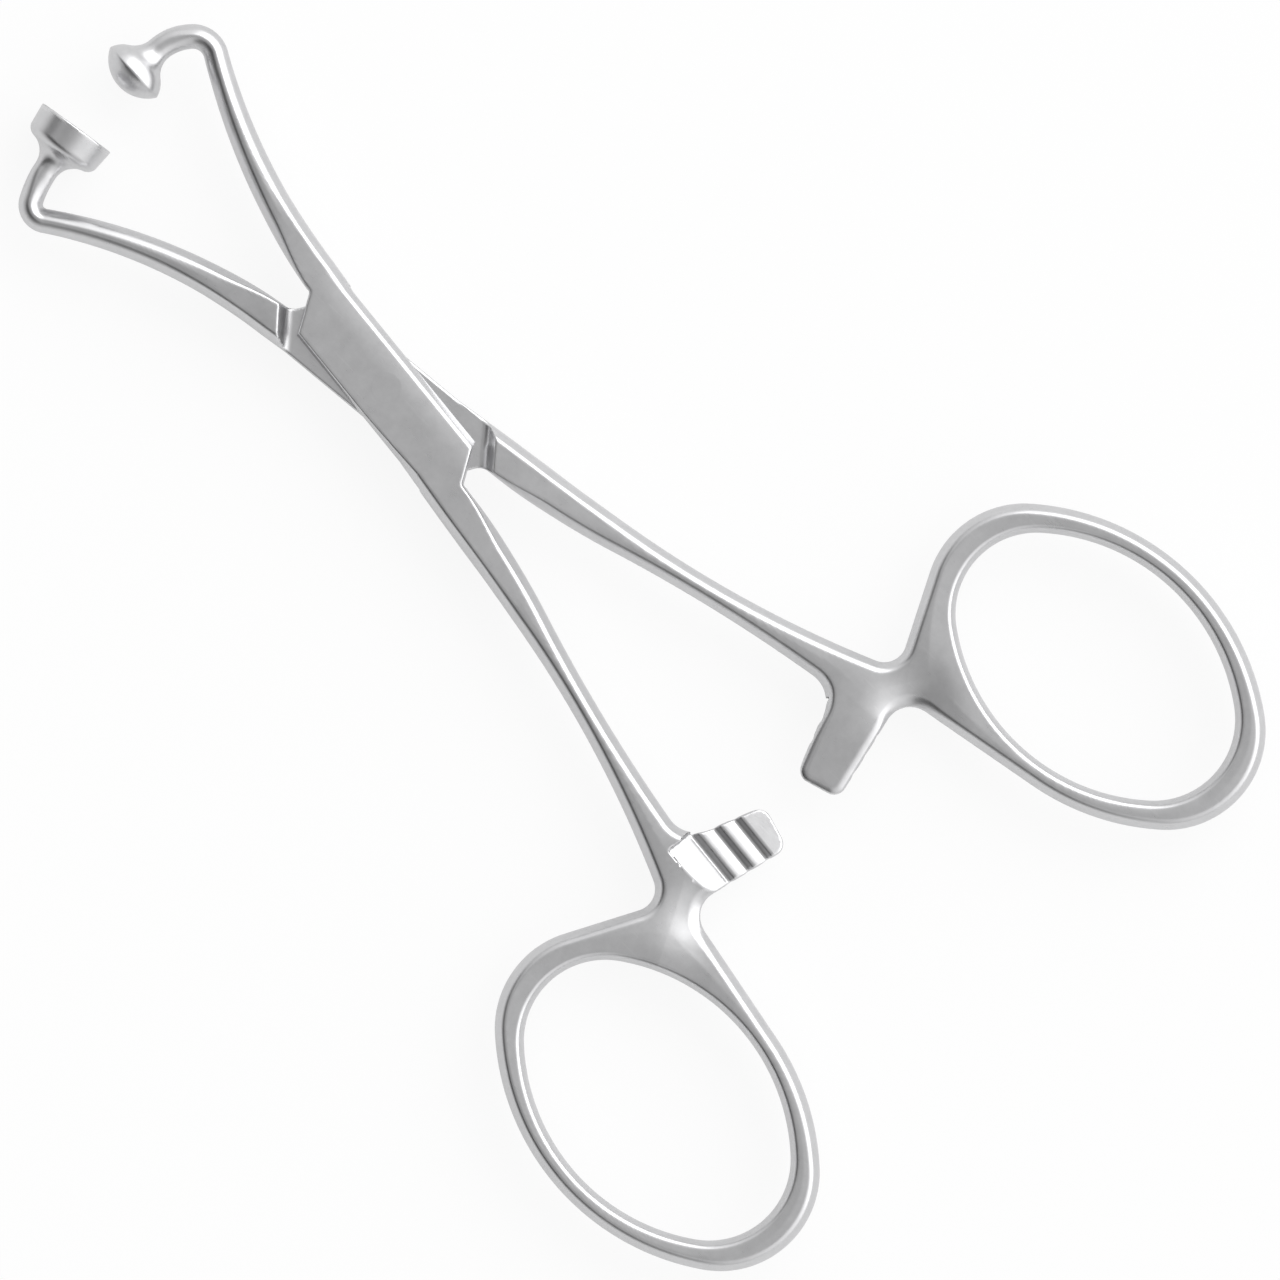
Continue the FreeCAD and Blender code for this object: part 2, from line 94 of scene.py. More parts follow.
class Straight:
    """Straight edge of an outline; the metal lies to its left."""

    def __init__(self, start, end):
        self.start, self.end = np.asarray(start, float), np.asarray(end, float)
        self.length = np.linalg.norm(self.end - self.start)
        self.run = (self.end - self.start) / self.length

    def off(self, x, y):
        """Distance from a point to the edge, and how far the point lies outside it."""
        dx, dy = x - self.start[0], y - self.start[1]
        along = dx * self.run[0] + dy * self.run[1]
        outside = dx * self.run[1] - dy * self.run[0]
        return np.hypot(along - np.clip(along, 0, self.length), outside), outside

    def slope(self, point):
        """Direction that leads away from the metal."""
        return np.array([self.run[1], -self.run[0]])

    def foot(self, point):
        """Place on the edge next to a point."""
        return self.start + self.run * np.dot(point - self.start, self.run)

    def cut(self, start, end):
        """The edge with a new start or end."""
        return Straight(self.start if start is None else start, self.end if end is None else end)


class Bend:
    """Arc of an outline; it turns left for a positive sweep, and the metal lies to its left."""

    def __init__(self, centre, radius, first, sweep):
        self.centre, self.radius = np.asarray(centre, float), radius
        self.first, self.sweep = first, sweep
        self.turn = 1 if sweep > 0 else -1
        self.start = self.centre + way(first, radius)
        self.end = self.centre + way(first + sweep, radius)

    def off(self, x, y):
        """Distance from a point to the arc, and how far the point lies outside it."""
        dx, dy = x - self.centre[0], y - self.centre[1]
        reach = np.hypot(dx, dy)
        middle = way(self.first + self.sweep / 2)
        half_turn = math.radians(self.sweep / 2)
        within = dx * middle[0] + dy * middle[1] >= reach * math.cos(half_turn)
        from_start = np.hypot(x - self.start[0], y - self.start[1])
        from_end = np.hypot(x - self.end[0], y - self.end[1])
        outside = (reach - self.radius) * self.turn
        return np.where(within, np.abs(outside), np.minimum(from_start, from_end)), outside

    def slope(self, point):
        """Direction that leads away from the metal."""
        return (point - self.centre) / np.linalg.norm(point - self.centre) * self.turn

    def foot(self, point):
        """Place on the arc next to a point."""
        gap = point - self.centre
        return self.centre + gap / np.linalg.norm(gap) * self.radius

    def cut(self, start, end):
        """The arc with a new start or end."""
        first = self.first if start is None else angle_of(start - self.centre)
        last = self.first + self.sweep if end is None else angle_of(end - self.centre)
        sweep = (last - first) % 360 if self.turn > 0 else -((first - last) % 360)
        return Bend(self.centre, self.radius, first, sweep)


def blended(before, after, radius):
    """Two edges of an outline, cut back to an arc of the given radius between them."""
    corner = before.end
    turn = 1 if np.cross(-before.slope(corner), -after.slope(after.start)) > 0 else -1
    inward = -(before.slope(corner) + after.slope(after.start))
    centre = corner + turn * inward * radius
    for step in range(blend_rounds):
        rows = np.array([before.slope(centre), after.slope(centre)])
        miss = [edge.off(*centre)[1] + turn * radius for edge in (before, after)]
        centre = centre - np.linalg.solve(rows, miss)
    first, last = before.foot(centre), after.foot(centre)
    sweep = (turn * (angle_of(last - centre) - angle_of(first - centre))) % 360
    arc = Bend(centre, radius, angle_of(first - centre), turn * sweep)
    return before.cut(None, first), arc, after.cut(last, None)


def depth(edges, x, y):
    """Signed distance to an outline: below zero within the metal."""
    nearest, signed = None, None
    for edge in edges:
        distance, outside = edge.off(x, y)
        value = np.where(outside > 0, distance, -distance)
        nearer = None if nearest is None else distance < nearest
        signed = value if nearest is None else np.where(nearer, value, signed)
        nearest = distance if nearest is None else np.minimum(distance, nearest)
    return signed


def trimmed(a, b, radius):
    """What two bodies share, with the edge between their faces rounded."""
    spread = np.hypot(np.maximum(radius + a, 0), np.maximum(radius + b, 0))
    return np.minimum(-radius, np.maximum(a, b)) + spread


def bevelled(side, level, across, down, soft):
    """Prism with a steep bevel round its rim, so far in and so far down, its corners eased."""
    bevel = (side * down + level * across + across * down) / np.hypot(across, down)
    return trimmed(trimmed(side, bevel, side_softness), level, soft)


def eased(value, low, high):
    """Smooth rise from 0 to 1 between two values."""
    share = np.clip((value - low) / (high - low), 0, 1)
    return share * share * (3 - 2 * share)


def fall(x, y):
    """Drop of the ground faces towards the lock's outer edge."""
    out = np.maximum(-x - face_fall_start, 0)
    return face_fall * out ** 2 * (1 - eased(np.abs(y), *face_fall_fade))


plate_end = way(90 - lock_slant, plate_end_reach)
plate_end_run = way(180 - lock_slant)
jaw_side = np.array([-arm_inset, arm_root])
crotch = crossing(plate_end, plate_end_run, jaw_side, way(90 + arm_lead))
block_reach = arm_root - shank_root_width * math.sin(math.radians(arm_lead))


def crotch_gap(radius):
    """Outline of the gap between the slanted end of the plate and the jaw beside it."""
    jaw_edge = Straight(crotch + way(90 + arm_lead, far_off), crotch)
    return blended(jaw_edge, Straight(crotch, crotch - plate_end_run * far_off), radius)


def lock(x, y, z, gap):
    """Block of the lock, its ends ground on the slant with a round crotch beside each arm."""
    level = np.abs(z) - lock_thickness / 2 + fall(x, y)
    crisp = eased(x, *crisp_across) * (1 - eased(-y, *crisp_along))
    across = lock_bevel - lock_bevel_loss * crisp
    soft = ground_softness - ground_softness_loss * crisp
    bar = bevelled(np.abs(x) - lock_width / 2, level, across, lock_bevel_depth, soft)
    bar = np.maximum(bar, np.abs(y) - block_reach)
    ends = np.maximum(-depth(gap, x, y), -depth(gap, -x, -y))
    return np.maximum(bar, bevelled(ends, level, lock_end_bevel, lock_bevel_depth, end_softness))


# The jaws: each is forged in one with its lock, thins and narrows along a long bow, and hooks
# round to a thin neck behind the tip. The long sides are beaded, so their bevels are wide and soft,
# a low ridge runs along the faces, and near the crotch the edges stay crisp from the grinding.

jaw_root_width = 3.85
jaw_reach = 37.8
neck_width = 2.6
neck_thickness = 2.7
hook_rise = 3.5
tip_offset = 0.3
tip_lean = 3.5
neck_overlap = 0.3
stub_length = 9
jaw_taper_power = 1.25
jaw_bevel = 0.8
jaw_bevel_share = 0.3
jaw_bevel_depth = 0.54
jaw_bevel_deepening = 0.3
jaw_bevel_deepens = 14, 22
jaw_softening = 0.15
jaw_softens = 15, 25
jaw_ridge = 0.2
jaw_ridge_rises = 17, 27
ridge_rounding = 0.1
hook_across = -8.2, -5.5
hook_along = 34, 38
crisp_loss = 0.8
crisp_inner_side = -2.6, -1.8
crisp_ends = arm_root - 0.5, arm_root + 7


def edge_width(x, y, widest):
    """How far the bevel runs in from a side: wide along the outer side, narrow near the crotch."""
    away = eased(np.abs(y), *crisp_ends)
    inner = eased(x * np.sign(y), *crisp_inner_side)
    return widest * (1 - crisp_loss * inner * (1 - away))


def bend_from(start, heading, end):
    """Arc that leaves start along a heading in degrees and runs to end."""
    chord = np.asarray(end, float) - start
    half = (angle_of(chord) - heading + 180) % 360 - 180
    radius = np.linalg.norm(chord) / 2 / abs(math.sin(math.radians(half)))
    side = 1 if half > 0 else -1
    centre = start + way(heading + 90 * side, radius)
    return Bend(centre, radius, heading - 90 * side, 2 * half)


def jaw_path(bend_offset, bend_reach, side, neck_length):
    """Middle line of the jaw: a long bow from the lock, then two arcs round the hook to the neck."""
    root = np.array([-(arm_inset + jaw_root_width / 2), arm_root])
    bend = np.array([-bend_offset, bend_reach])
    bow = bend_from(root, 90 + arm_lead, bend)
    tip = np.array([side * tip_offset, jaw_reach + hook_rise])
    end = tip - way(side * tip_lean, neck_length - neck_overlap)
    lead = 90 + arm_lead + bow.sweep
    trail = side * tip_lean
    span = end - bend
    along = span @ (way(lead) + way(trail))
    spread = 2 * (1 - way(lead) @ way(trail))
    reach = (math.sqrt(along ** 2 + spread * (span @ span)) - along) / spread
    joint = (bend + way(lead) * reach + end - way(trail) * reach) / 2
    first = bend_from(bend, lead, joint)
    stub = Straight(root - way(90 + arm_lead, stub_length), root)
    return stub, bow, first, bend_from(joint, lead + first.sweep, end)


def jaw(x, y, z, path):
    """Jaw arm: it thins and narrows from the lock to the hook, which is round."""
    body = None
    for place, edge in enumerate(path):
        distance = edge.off(x, y)[0]
        share = 0.0 if place == 0 else 1.0
        if place == 1:
            middle = np.arctan2(y - edge.centre[1], x - edge.centre[0])
            turned = (np.degrees(middle) - edge.first + 180) % 360 - 180
            share = np.clip(turned / edge.sweep, 0, 1)
        width = neck_width + (jaw_root_width - neck_width) * (1 - share) ** jaw_taper_power
        thickness = neck_thickness + (lock_thickness - neck_thickness) * (1 - share)
        across = np.minimum(edge_width(x, y, jaw_bevel), width * jaw_bevel_share)
        ridge = jaw_ridge * eased(y, *jaw_ridge_rises) * np.hypot(distance, ridge_rounding)
        half = thickness / 2 - ridge - fall(x, y)
        soft = ground_softness + jaw_softening * eased(y, *jaw_softens)
        down = half * (jaw_bevel_depth + jaw_bevel_deepening * eased(y, *jaw_bevel_deepens))
        arm = bevelled(distance - width / 2, np.abs(z) - half, across, down, soft)
        if place == 0:
            past_root = (x - edge.end[0]) * edge.run[0] + (y - edge.end[1]) * edge.run[1]
            arm = np.maximum(arm, past_root)
        hooked = eased(x, *hook_across) * eased(y, *hook_along)
        arm = arm + hooked * (np.hypot(distance, z) - neck_width / 2 - arm)
        body = arm if body is None else np.minimum(body, arm)
    return body


# The ball: the tip of one jaw, a low dome turned on the end of the neck, with a rounded rim
# and a flare behind it that runs in to the neck. It is of one piece with its jaw.

ball_radius = 3.5
ball_height = 2.05
ball_flare = 3.6
ball_rim_radius = 0.3
ball_bend_offset = 8.0
ball_bend_drop = 0.4
ball_flare_turn = 0.56, 0.48
dome_overrun = 20
dome_radius = (ball_radius ** 2 + ball_height ** 2) / (2 * ball_height)
dome_rise = math.degrees(math.asin(ball_radius / dome_radius))


def spun(x, y, z, side):
    """Distance along the tip axis from its rim plane, and distance out from the axis."""
    dx, dy = x - side * tip_offset, y - jaw_reach - hook_rise
    lean = way(side * tip_lean)
    return dx * lean[0] + dy * lean[1], np.hypot(dy * lean[0] - dx * lean[1], z)


def flare(start, length, rim, turn):
    """Profile behind a tip, from the neck out to the rim: hollow first, then full."""
    neck = np.array([start, neck_width / 2])
    turning = neck + np.array([length * turn[0], (rim - neck_width / 2) * turn[1]])
    first = bend_from(neck, 0, turning)
    return first, bend_from(turning, first.sweep, np.array([start + length, rim]))


def flipped(edges):
    """The same edges run the other way, with the metal on their other side."""
    back = []
    for edge in reversed(edges):
        if isinstance(edge, Bend):
            back.append(Bend(edge.centre, edge.radius, edge.first + edge.sweep, -edge.sweep))
        else:
            back.append(Straight(edge.end, edge.start))
    return back


ball_back = flipped(flare(-ball_flare, ball_flare, ball_radius, ball_flare_turn))
dome = Bend([ball_height - dome_radius, 0], dome_radius, -dome_overrun, dome_overrun + dome_rise)
ball_profile = list(blended(dome, ball_back[0], ball_rim_radius)) + ball_back[1:]
ball_jaw = jaw_path(ball_bend_offset, jaw_reach - ball_bend_drop, -1, ball_flare)


def ball(x, y, z):
    """Domed ball with its rounded rim and the flare behind it."""
    along, out = spun(x, y, z, -1)
    return np.maximum(depth(ball_profile, along, out), -ball_flare - along)


# The cup: the tip of the other jaw, turned to a short tapered rim with a flare behind it, and
# hollowed to a sphere that takes the ball with a little room. It too is of one piece with its jaw.

cup_length = 5.4
cup_rim_length = 2.4
cup_wall_taper = 0.25
cup_lip_width = 0.44
cup_lip_radius = 0.18
cup_shoulder_radius = 0.22
cup_flare_turn = 0.73, 0.66
hollow_edge_radius = 0.12
cup_bend_offset = 9.15
hollow_room = 0.3
hollow_radius = dome_radius + hollow_room
hollow_middle = dome_radius - ball_height
cup_radius = math.sqrt(hollow_radius ** 2 - hollow_middle ** 2) + cup_lip_width
cup_back_radius = cup_radius - cup_wall_taper

cup_flare = cup_length - cup_rim_length
cup_back = flipped(flare(-cup_length, cup_flare, cup_back_radius, cup_flare_turn))
cup_wall = Straight([0, cup_radius], [-cup_rim_length, cup_back_radius])
cup_face = Straight([0, 0], [0, cup_radius])
cup_lip = blended(cup_face, cup_wall, cup_lip_radius)
cup_shoulder = blended(cup_lip[2], cup_back[0], cup_shoulder_radius)
cup_profile = [cup_lip[0], cup_lip[1], *cup_shoulder, *cup_back[1:]]
cup_jaw = jaw_path(cup_bend_offset, jaw_reach, 1, cup_length)


def cup(x, y, z):
    """Cup with a tapered rim, hollowed to take the ball."""
    along, out = spun(x, y, z, 1)
    shell = np.maximum(depth(cup_profile, along, out), -cup_length - along)
    return trimmed(shell, hollow_radius - np.hypot(along - hollow_middle, out), hollow_edge_radius)


# The shank, finger ring and ratchet bar: forged in one with the lock, the ring an oval whose band is
# wider at its ends, the bar standing in towards the other half, the web between them dished.
# The edges are beaded, and three teeth and a ramp are milled across the bar.

shank_reach = 28.0
shank_offset = 3.45
shank_heading = 8.4
shank_width = 3.3
shank_inner_bow = 0.5
shank_outer_bow = 1.0
bow_thickness = 3.4
ring_offset = 24.35
ring_reach = 73.75
ring_opening_width = 22.1
ring_opening_length = 32.5
ring_opening_end_radius = 8.2
ring_side_band = 2.55
ring_end_band = 3.7
ring_end_radius = 10.2
ring_tilt = -2.3
ring_web = 1.35
ring_slope = 0.06
ring_least_band = 0.5
ring_crest_share = 0.56
ring_crest_swing = 0.12
ring_crest_turn = 0.8
ring_crest_rounding = 0.08
ring_band_widths = 4.2, 8.5
shank_crotch_side = 13.0
shank_crotch_rise = 15.4
bow_bevel = 0.85
bow_bevel_depth = 0.56
bow_bevel_deepening = 0.36
bow_bevel_deepens = 14, 22
bow_softening = 0.1
bow_softens = 15, 25
bow_crown = 0.3
bow_crown_width = 1.1
bow_crown_rest = 0.2
crown_rises = arm_root + 6, shank_reach + 6
opening_bevel = 0.6
opening_bevel_depth = 0.92
opening_softness = 0.35
corner_radii = (11, 2.2), (5, 2.8), (4, 1.4), (3, 1.4), (2, 3.2)
bar_width = 5.0
bar_rise = 13.95
bar_droop = 11.9
bar_taper = 3.9
bar_bevel_depth = 0.5
bar_bevel_loss = 0.4
bar_face_slope = 0.04
bar_face_start = 6
bar_root = 8.8
bar_root_fade = 0, 3.5
bar_side_fade = 3.2, 5.8
bar_crotch_offset = 5.35
web_dish_depth = 0.9
web_dish_offset = 9.2
web_dish_reach = 61.6
web_dish_spread = 11
web_dish_edge = 0.5, 3.5
tooth_count = 3
tooth_pitch = 2.2
tooth_depth = 0.7
tooth_face = 0.45
first_tooth = -0.35
crest_height = 0.15
pad_fall = 1.1
tooth_back = (0.9, 0.34), (1.5, 0.12)
tooth_rounding = -0.27, -0.09, 0.09, 0.27
ramp_length = 2.9
milled_edge_radius = 0.3
milled_steepness = 0.75
well_below = 20


def bowed(start, end, bow):
    """Arc between two points, bowed to its right by the given height."""
    chord = np.asarray(end, float) - start
    half = 2 * math.degrees(math.atan(2 * bow / np.linalg.norm(chord)))
    return bend_from(start, angle_of(chord) - half, end)


def oval(width, length, end_radius):
    """Four arcs about the ring's middle, anticlockwise from the long side at the right."""
    end_shift = length / 2 - end_radius
    side_radius = ((width / 2) ** 2 + end_shift ** 2 - end_radius ** 2) / (width - 2 * end_radius)
    side_shift = side_radius - width / 2
    split = math.degrees(math.atan2(end_shift, side_shift))
    middle = np.array([ring_offset, -ring_reach])
    up, out = way(90 + ring_tilt), way(ring_tilt)
    return [
        Bend(middle - out * side_shift, side_radius, ring_tilt - split, 2 * split),
        Bend(middle + up * end_shift, end_radius, ring_tilt + split, 180 - 2 * split),
        Bend(middle + out * side_shift, side_radius, ring_tilt + 180 - split, 2 * split),
        Bend(middle - up * end_shift, end_radius, ring_tilt + 180 + split, 180 - 2 * split),
    ]


def touching(arc, point, side):
    """Point where a straight line from outside touches an arc."""
    gap = point - arc.centre
    opened = math.degrees(math.acos(arc.radius / np.linalg.norm(gap)))
    return arc.centre + way(angle_of(gap) + side * opened, arc.radius)


def bow_outline(bar_reach):
    """Outline of the shank, web, ring and ratchet bar, anticlockwise, every corner blended."""
    joint, heading = np.array([shank_offset, -shank_reach]), shank_heading - 90
    across = way(heading + 90)
    inner, outer = joint - across * shank_width / 2, joint + across * shank_width / 2
    ring_width = ring_opening_width + 2 * ring_side_band
    ring_length = ring_opening_length + 2 * ring_end_band
    right, top, left, bottom = oval(ring_width, ring_length, ring_end_radius)
    bar_tip = np.array([-bar_reach, bar_rise - ring_reach])
    bar_upper = bar_tip + way(bar_droop + 90, bar_width / 2)
    bar_lower = bar_tip - way(bar_droop + 90, bar_width / 2)
    upright = np.array([0.0, 1.0])
    inner_line = np.array([bar_crotch_offset, 0])
    bar_crotch = crossing(bar_upper, way(bar_droop + bar_taper), inner_line, upright)
    web_side = np.array([ring_offset - ring_width / 2 - ring_web, 0])
    ring_crotch = crossing(bar_lower, way(bar_droop - bar_taper), web_side, upright)
    shank_crotch = np.array([ring_offset - shank_crotch_side, shank_crotch_rise - ring_reach])
    left_touch = touching(left, ring_crotch, 1)
    top_touch = touching(top, shank_crotch, -1)
    inner_arc = bowed(inner, bar_crotch, -shank_inner_bow)
    outer_arc = bowed(shank_crotch, outer, -shank_outer_bow)
    root = np.array([arm_inset + shank_root_width / 2, -arm_root])
    root_across = way(arm_lead)
    inner_root = root - root_across * shank_root_width / 2
    outer_root = root + root_across * shank_root_width / 2
    rise = way(90 + arm_lead, stub_length)
    inner_swell = flipped([bend_from(inner, inner_arc.first + 90, inner_root)])[0]
    edges = [
        Straight(inner_root + rise, inner_root),
        inner_swell,
        inner_arc,
        Straight(bar_crotch, bar_upper),
        Straight(bar_upper, bar_lower),
        Straight(bar_lower, ring_crotch),
        Straight(ring_crotch, left_touch),
        left.cut(left_touch, None),
        bottom,
        right,
        top.cut(None, top_touch),
        Straight(top_touch, shank_crotch),
        outer_arc,
        bend_from(outer, outer_arc.first + outer_arc.sweep - 90, outer_root),
        Straight(outer_root, outer_root + rise),
    ]
    for place, radius in corner_radii:
        edges[place:place + 2] = blended(edges[place], edges[place + 1], radius)
    return edges


ring_hole = oval(ring_opening_width, ring_opening_length, ring_opening_end_radius)


def milled_floor(x, y, bar_reach):
    """Height of the milled teeth and the ramp behind them; far below where nothing is milled."""
    stops = [-2 * bar_reach]
    heights = [crest_height + pad_fall]
    for tooth in range(tooth_count):
        steep = first_tooth + tooth * tooth_pitch
        stops += [steep, steep + tooth_face, *(steep + run for run, rise in tooth_back)]
        heights += [crest_height, crest_height + tooth_depth]
        heights += [crest_height + rise for run, rise in tooth_back]
    stops[-2:] = [stops[-3] + ramp_length]
    heights[-2:] = [-bow_thickness / 2]
    floor = sum(np.interp(x + shift, stops, heights) for shift in tooth_rounding)
    floor = floor / len(tooth_rounding)
    beside = eased(np.abs(y - bar_rise + ring_reach), bar_width, bar_width + 1)
    return np.where(x > stops[-1], -well_below, floor - well_below * beside)


def bow(x, y, z, outline, bar_reach):
    """Shank, ring and bar: beaded edges, a low ridge along the ring, and the milled ratchet."""
    outer, inner = depth(outline, x, y), depth(ring_hole, x, y)
    band = np.maximum(inner - outer, ring_least_band)
    swell = (lock_thickness - bow_thickness) / 2 * (1 - eased(-y, arm_root, shank_reach))
    beside_bar = eased(np.abs(y - bar_rise + ring_reach), *bar_side_fade)
    bar = eased(bar_root - x, *bar_root_fade) * (1 - beside_bar)
    ridge = eased(-y, *crown_rises)
    from_edge = np.exp(-np.maximum(-outer, 0) / bow_crown_width)
    crown = bow_crown * ridge * (from_edge - bow_crown_rest) * (1 - bar)
    bearing = np.arctan2(y + ring_reach, x - ring_offset)
    crest = (ring_crest_share + ring_crest_swing * np.sin(bearing + ring_crest_turn)) * band
    roof = ring_slope * np.hypot(inner - crest, ring_crest_rounding)
    on_ring = 1 - eased(band, *ring_band_widths)
    from_dish = (x - web_dish_offset) ** 2 + (y + web_dish_reach) ** 2
    dish = web_dish_depth * np.exp(-from_dish / web_dish_spread)
    dish = dish * ridge * eased(inner, *web_dish_edge)
    droop = bar_face_slope * np.maximum(bar_face_start - x, 0) * bar
    shaping = roof * on_ring, crown * (1 - on_ring), dish, droop, fall(x, y)
    half = bow_thickness / 2 + swell
    for lowered in shaping:
        half = half - lowered
    level = np.abs(z) - half
    deep = half * (bow_bevel_depth + bow_bevel_deepening * eased(-y, *bow_bevel_deepens))
    down = deep - (deep - bar_bevel_depth) * bar
    soft = ground_softness + bow_softening * eased(-y, *bow_softens)
    across = np.minimum(edge_width(x, y, bow_bevel), bow_bevel) * (1 - bar_bevel_loss * bar)
    rim = bevelled(outer, level, across, down, soft)
    opening_depth = half * opening_bevel_depth
    opening = bevelled(-inner, level, opening_bevel, opening_depth, opening_softness)
    plate = np.maximum(np.maximum(rim, opening), y + arm_root - stub_length)
    above_floor = (milled_floor(x, y, bar_reach) - z) * milled_steepness
    return trimmed(plate, above_floor, milled_edge_radius)


# The box half: the forging whose lock is a box, with a slot milled through it for the other half's
# tongue, and whose jaw ends in the ball. It is stainless steel, ground, beaded and satin polished,
# with the fine brushing of the last wheel, a faint mottling, and edges polished smoother; the edges
# also carry a painted highlight, lighter in tone, and the recesses a painted shade, darker in tone.

open_angle = 11.2
shoulder_reach = 10.6
slot_thickness = 1.9
box_bar_reach = 2.75
pin_hole_below_rivet = 1.1
box_space = (-11.5, -94.3, -3.8), (38.6, 46.0, 3.8)
slot_edge_radius = 0.1
lock_zone = 18
tip_zone = 32
far_away = 4.0
mesh_pitch = 0.2
coarse_cells = 4
coarse_reach = 1.15
coarse_room = 0.1
slope_step = 0.03
normal_step = 0.04
corner_calm = 0.06
cell_overlap = 0.2
last_step = 0.05
edge_and_recess_probe = 0.35
steel_tone = 0.61
steel_blue = 0.008
steel_roughness = 0.30
brushing_scale = 9000.0, 700.0, 9000.0
brushing_roughness = 0.10
brushing_height = 0.55
mottling_scale = 450.0
mottling_tone = 0.09
mottling_roughness = 0.08
mottling_height = 0.6
blotch_scale = 1500.0
blotch_tone = 0.08
blotch_height = 0.5
grain_scale = 5200.0
grain_height = 0.3
scratch_scale = 2600.0, 160.0, 2600.0
scratch_turn = 0.5
scratch_share = 0.69, 0.74
scratch_tone = 0.02
scratch_height = 0.5
edge_highlight_range = 0.05, 0.7
edge_painted_highlight = 0.05
worn_roughness = 0.06
recess_depth = 0.1, 0.8
recess_painted_shade = 0.16
recess_roughness = 0.05
relief_strength = 0.25
relief_depth = 0.00001

box_gap = crotch_gap(box_crotch_radius)
box_outline = bow_outline(box_bar_reach)


def between_shoulders(x, y):
    """Distance from the middle of the crossing, square to its shoulders."""
    square = way(90 + lock_slant)
    return np.abs(x * square[0] + y * square[1])


def near(mask, body, x, y, z, *more):
    """Distance to a body at the points of a mask; the others only get to know that they are far."""
    distance = np.full(x.shape, far_away, x.dtype)
    distance[mask] = body(x[mask], y[mask], z[mask], *more)
    return distance


def blank(x, y, z, gap, path, tip, outline, bar_reach):
    """One half before its lock is cut: block, shank and bow, jaw, tip."""
    body = near(np.abs(y) < lock_zone, lock, x, y, z, gap)
    body = np.minimum(body, near(y < 0, bow, x, y, z, outline, bar_reach))
    body = np.minimum(body, near(y > 0, jaw, x, y, z, path))
    return np.minimum(body, near(y > tip_zone, tip, x, y, z))


def box_half(x, y, z):
    """Half with the slotted box and the ball."""
    body = blank(x, y, z, box_gap, ball_jaw, ball, box_outline, box_bar_reach)
    slot = np.maximum(np.abs(z) - slot_thickness / 2, between_shoulders(x, y) - shoulder_reach)
    body = trimmed(body, -slot, slot_edge_radius)
    return np.maximum(body, pin_hole_below_rivet - np.hypot(x, y))


def slopes(field, points, step=slope_step):
    """Gradient of a body's distance field, from four points round each place."""
    total = np.zeros_like(points)
    for corner in ((1, -1, -1), (-1, -1, 1), (-1, 1, -1), (1, 1, 1)):
        corner = np.array(corner, points.dtype)
        total += corner * field(*(points + corner * step).T)[:, None]
    return total / (4 * step)


def sampled(field, axes, low, pitch):
    """The field on a grid: exact near the skin, and rough in blocks of cells away from it."""
    block = coarse_cells
    blocks = [np.arange(0, len(axis), block) for axis in axes]
    rows = [a + (b + block / 2 - 0.5) * pitch for a, b in zip(low, blocks)]
    middles = np.stack(np.meshgrid(*rows, indexing="ij"), -1)
    rough = field(*middles.reshape(-1, 3).astype(np.float32).T).reshape(middles.shape[:3])
    value = rough.repeat(block, 0).repeat(block, 1).repeat(block, 2)
    value = value[tuple(slice(0, len(axis)) for axis in axes)].astype(np.float32)
    close = np.argwhere(np.abs(value) < block * pitch * coarse_reach + coarse_room)
    places = np.float32(low) + close.astype(np.float32) * np.float32(pitch)
    value[tuple(close.T)] = field(*places.T)
    return value


def crossed(value, cells, base, pitch):
    """Where the skin crosses the edges of its cells, and the cell that each crossing belongs to."""
    owners, crossings = [], []
    for corner in ((i, j, k) for i in (0, 1) for j in (0, 1) for k in (0, 1)):
        for axis in range(3):
            if corner[axis]:
                continue
            other = tuple(c + (i == axis) for i, c in enumerate(corner))
            first = value[tuple((cells + corner).T)]
            last = value[tuple((cells + other).T)]
            hit = np.flatnonzero((first < 0) != (last < 0))
            place = base[hit] + np.array(corner) * pitch
            place[:, axis] += pitch * first[hit] / (first[hit] - last[hit])
            owners.append(hit)
            crossings.append(place)
    return np.concatenate(owners), np.concatenate(crossings).astype(np.float32)


def settled(field, owners, crossings, base, pitch):
    """One point for each cell, moved to where the faces through the cell meet, and on to the skin."""
    cells = len(base)
    normals = slopes(field, crossings).astype(float)
    normals /= np.maximum(np.linalg.norm(normals, axis=1, keepdims=True), 1e-9)
    total = np.bincount(owners, minlength=cells)
    middle = np.stack([np.bincount(owners, crossings[:, i], cells) / total for i in range(3)], -1)
    lean = np.zeros((cells, 3, 3))
    pull = np.zeros((cells, 3))
    reach = ((crossings - middle[owners]) * normals).sum(1)
    for i in range(3):
        pull[:, i] = np.bincount(owners, normals[:, i] * reach, cells)
        for j in range(3):
            lean[:, i, j] = np.bincount(owners, normals[:, i] * normals[:, j], cells)
        lean[:, i, i] += corner_calm
    moved = np.linalg.solve(lean, pull[:, :, None])[:, :, 0]
    lowest, highest = base - cell_overlap * pitch, base + (1 + cell_overlap) * pitch
    points = np.clip(middle + moved, lowest, highest).astype(np.float32)
    slope = slopes(field, points)
    off = field(*points.T) / np.maximum((slope ** 2).sum(1), 0.05)
    return points - slope * np.clip(off, -last_step, last_step)[:, None]


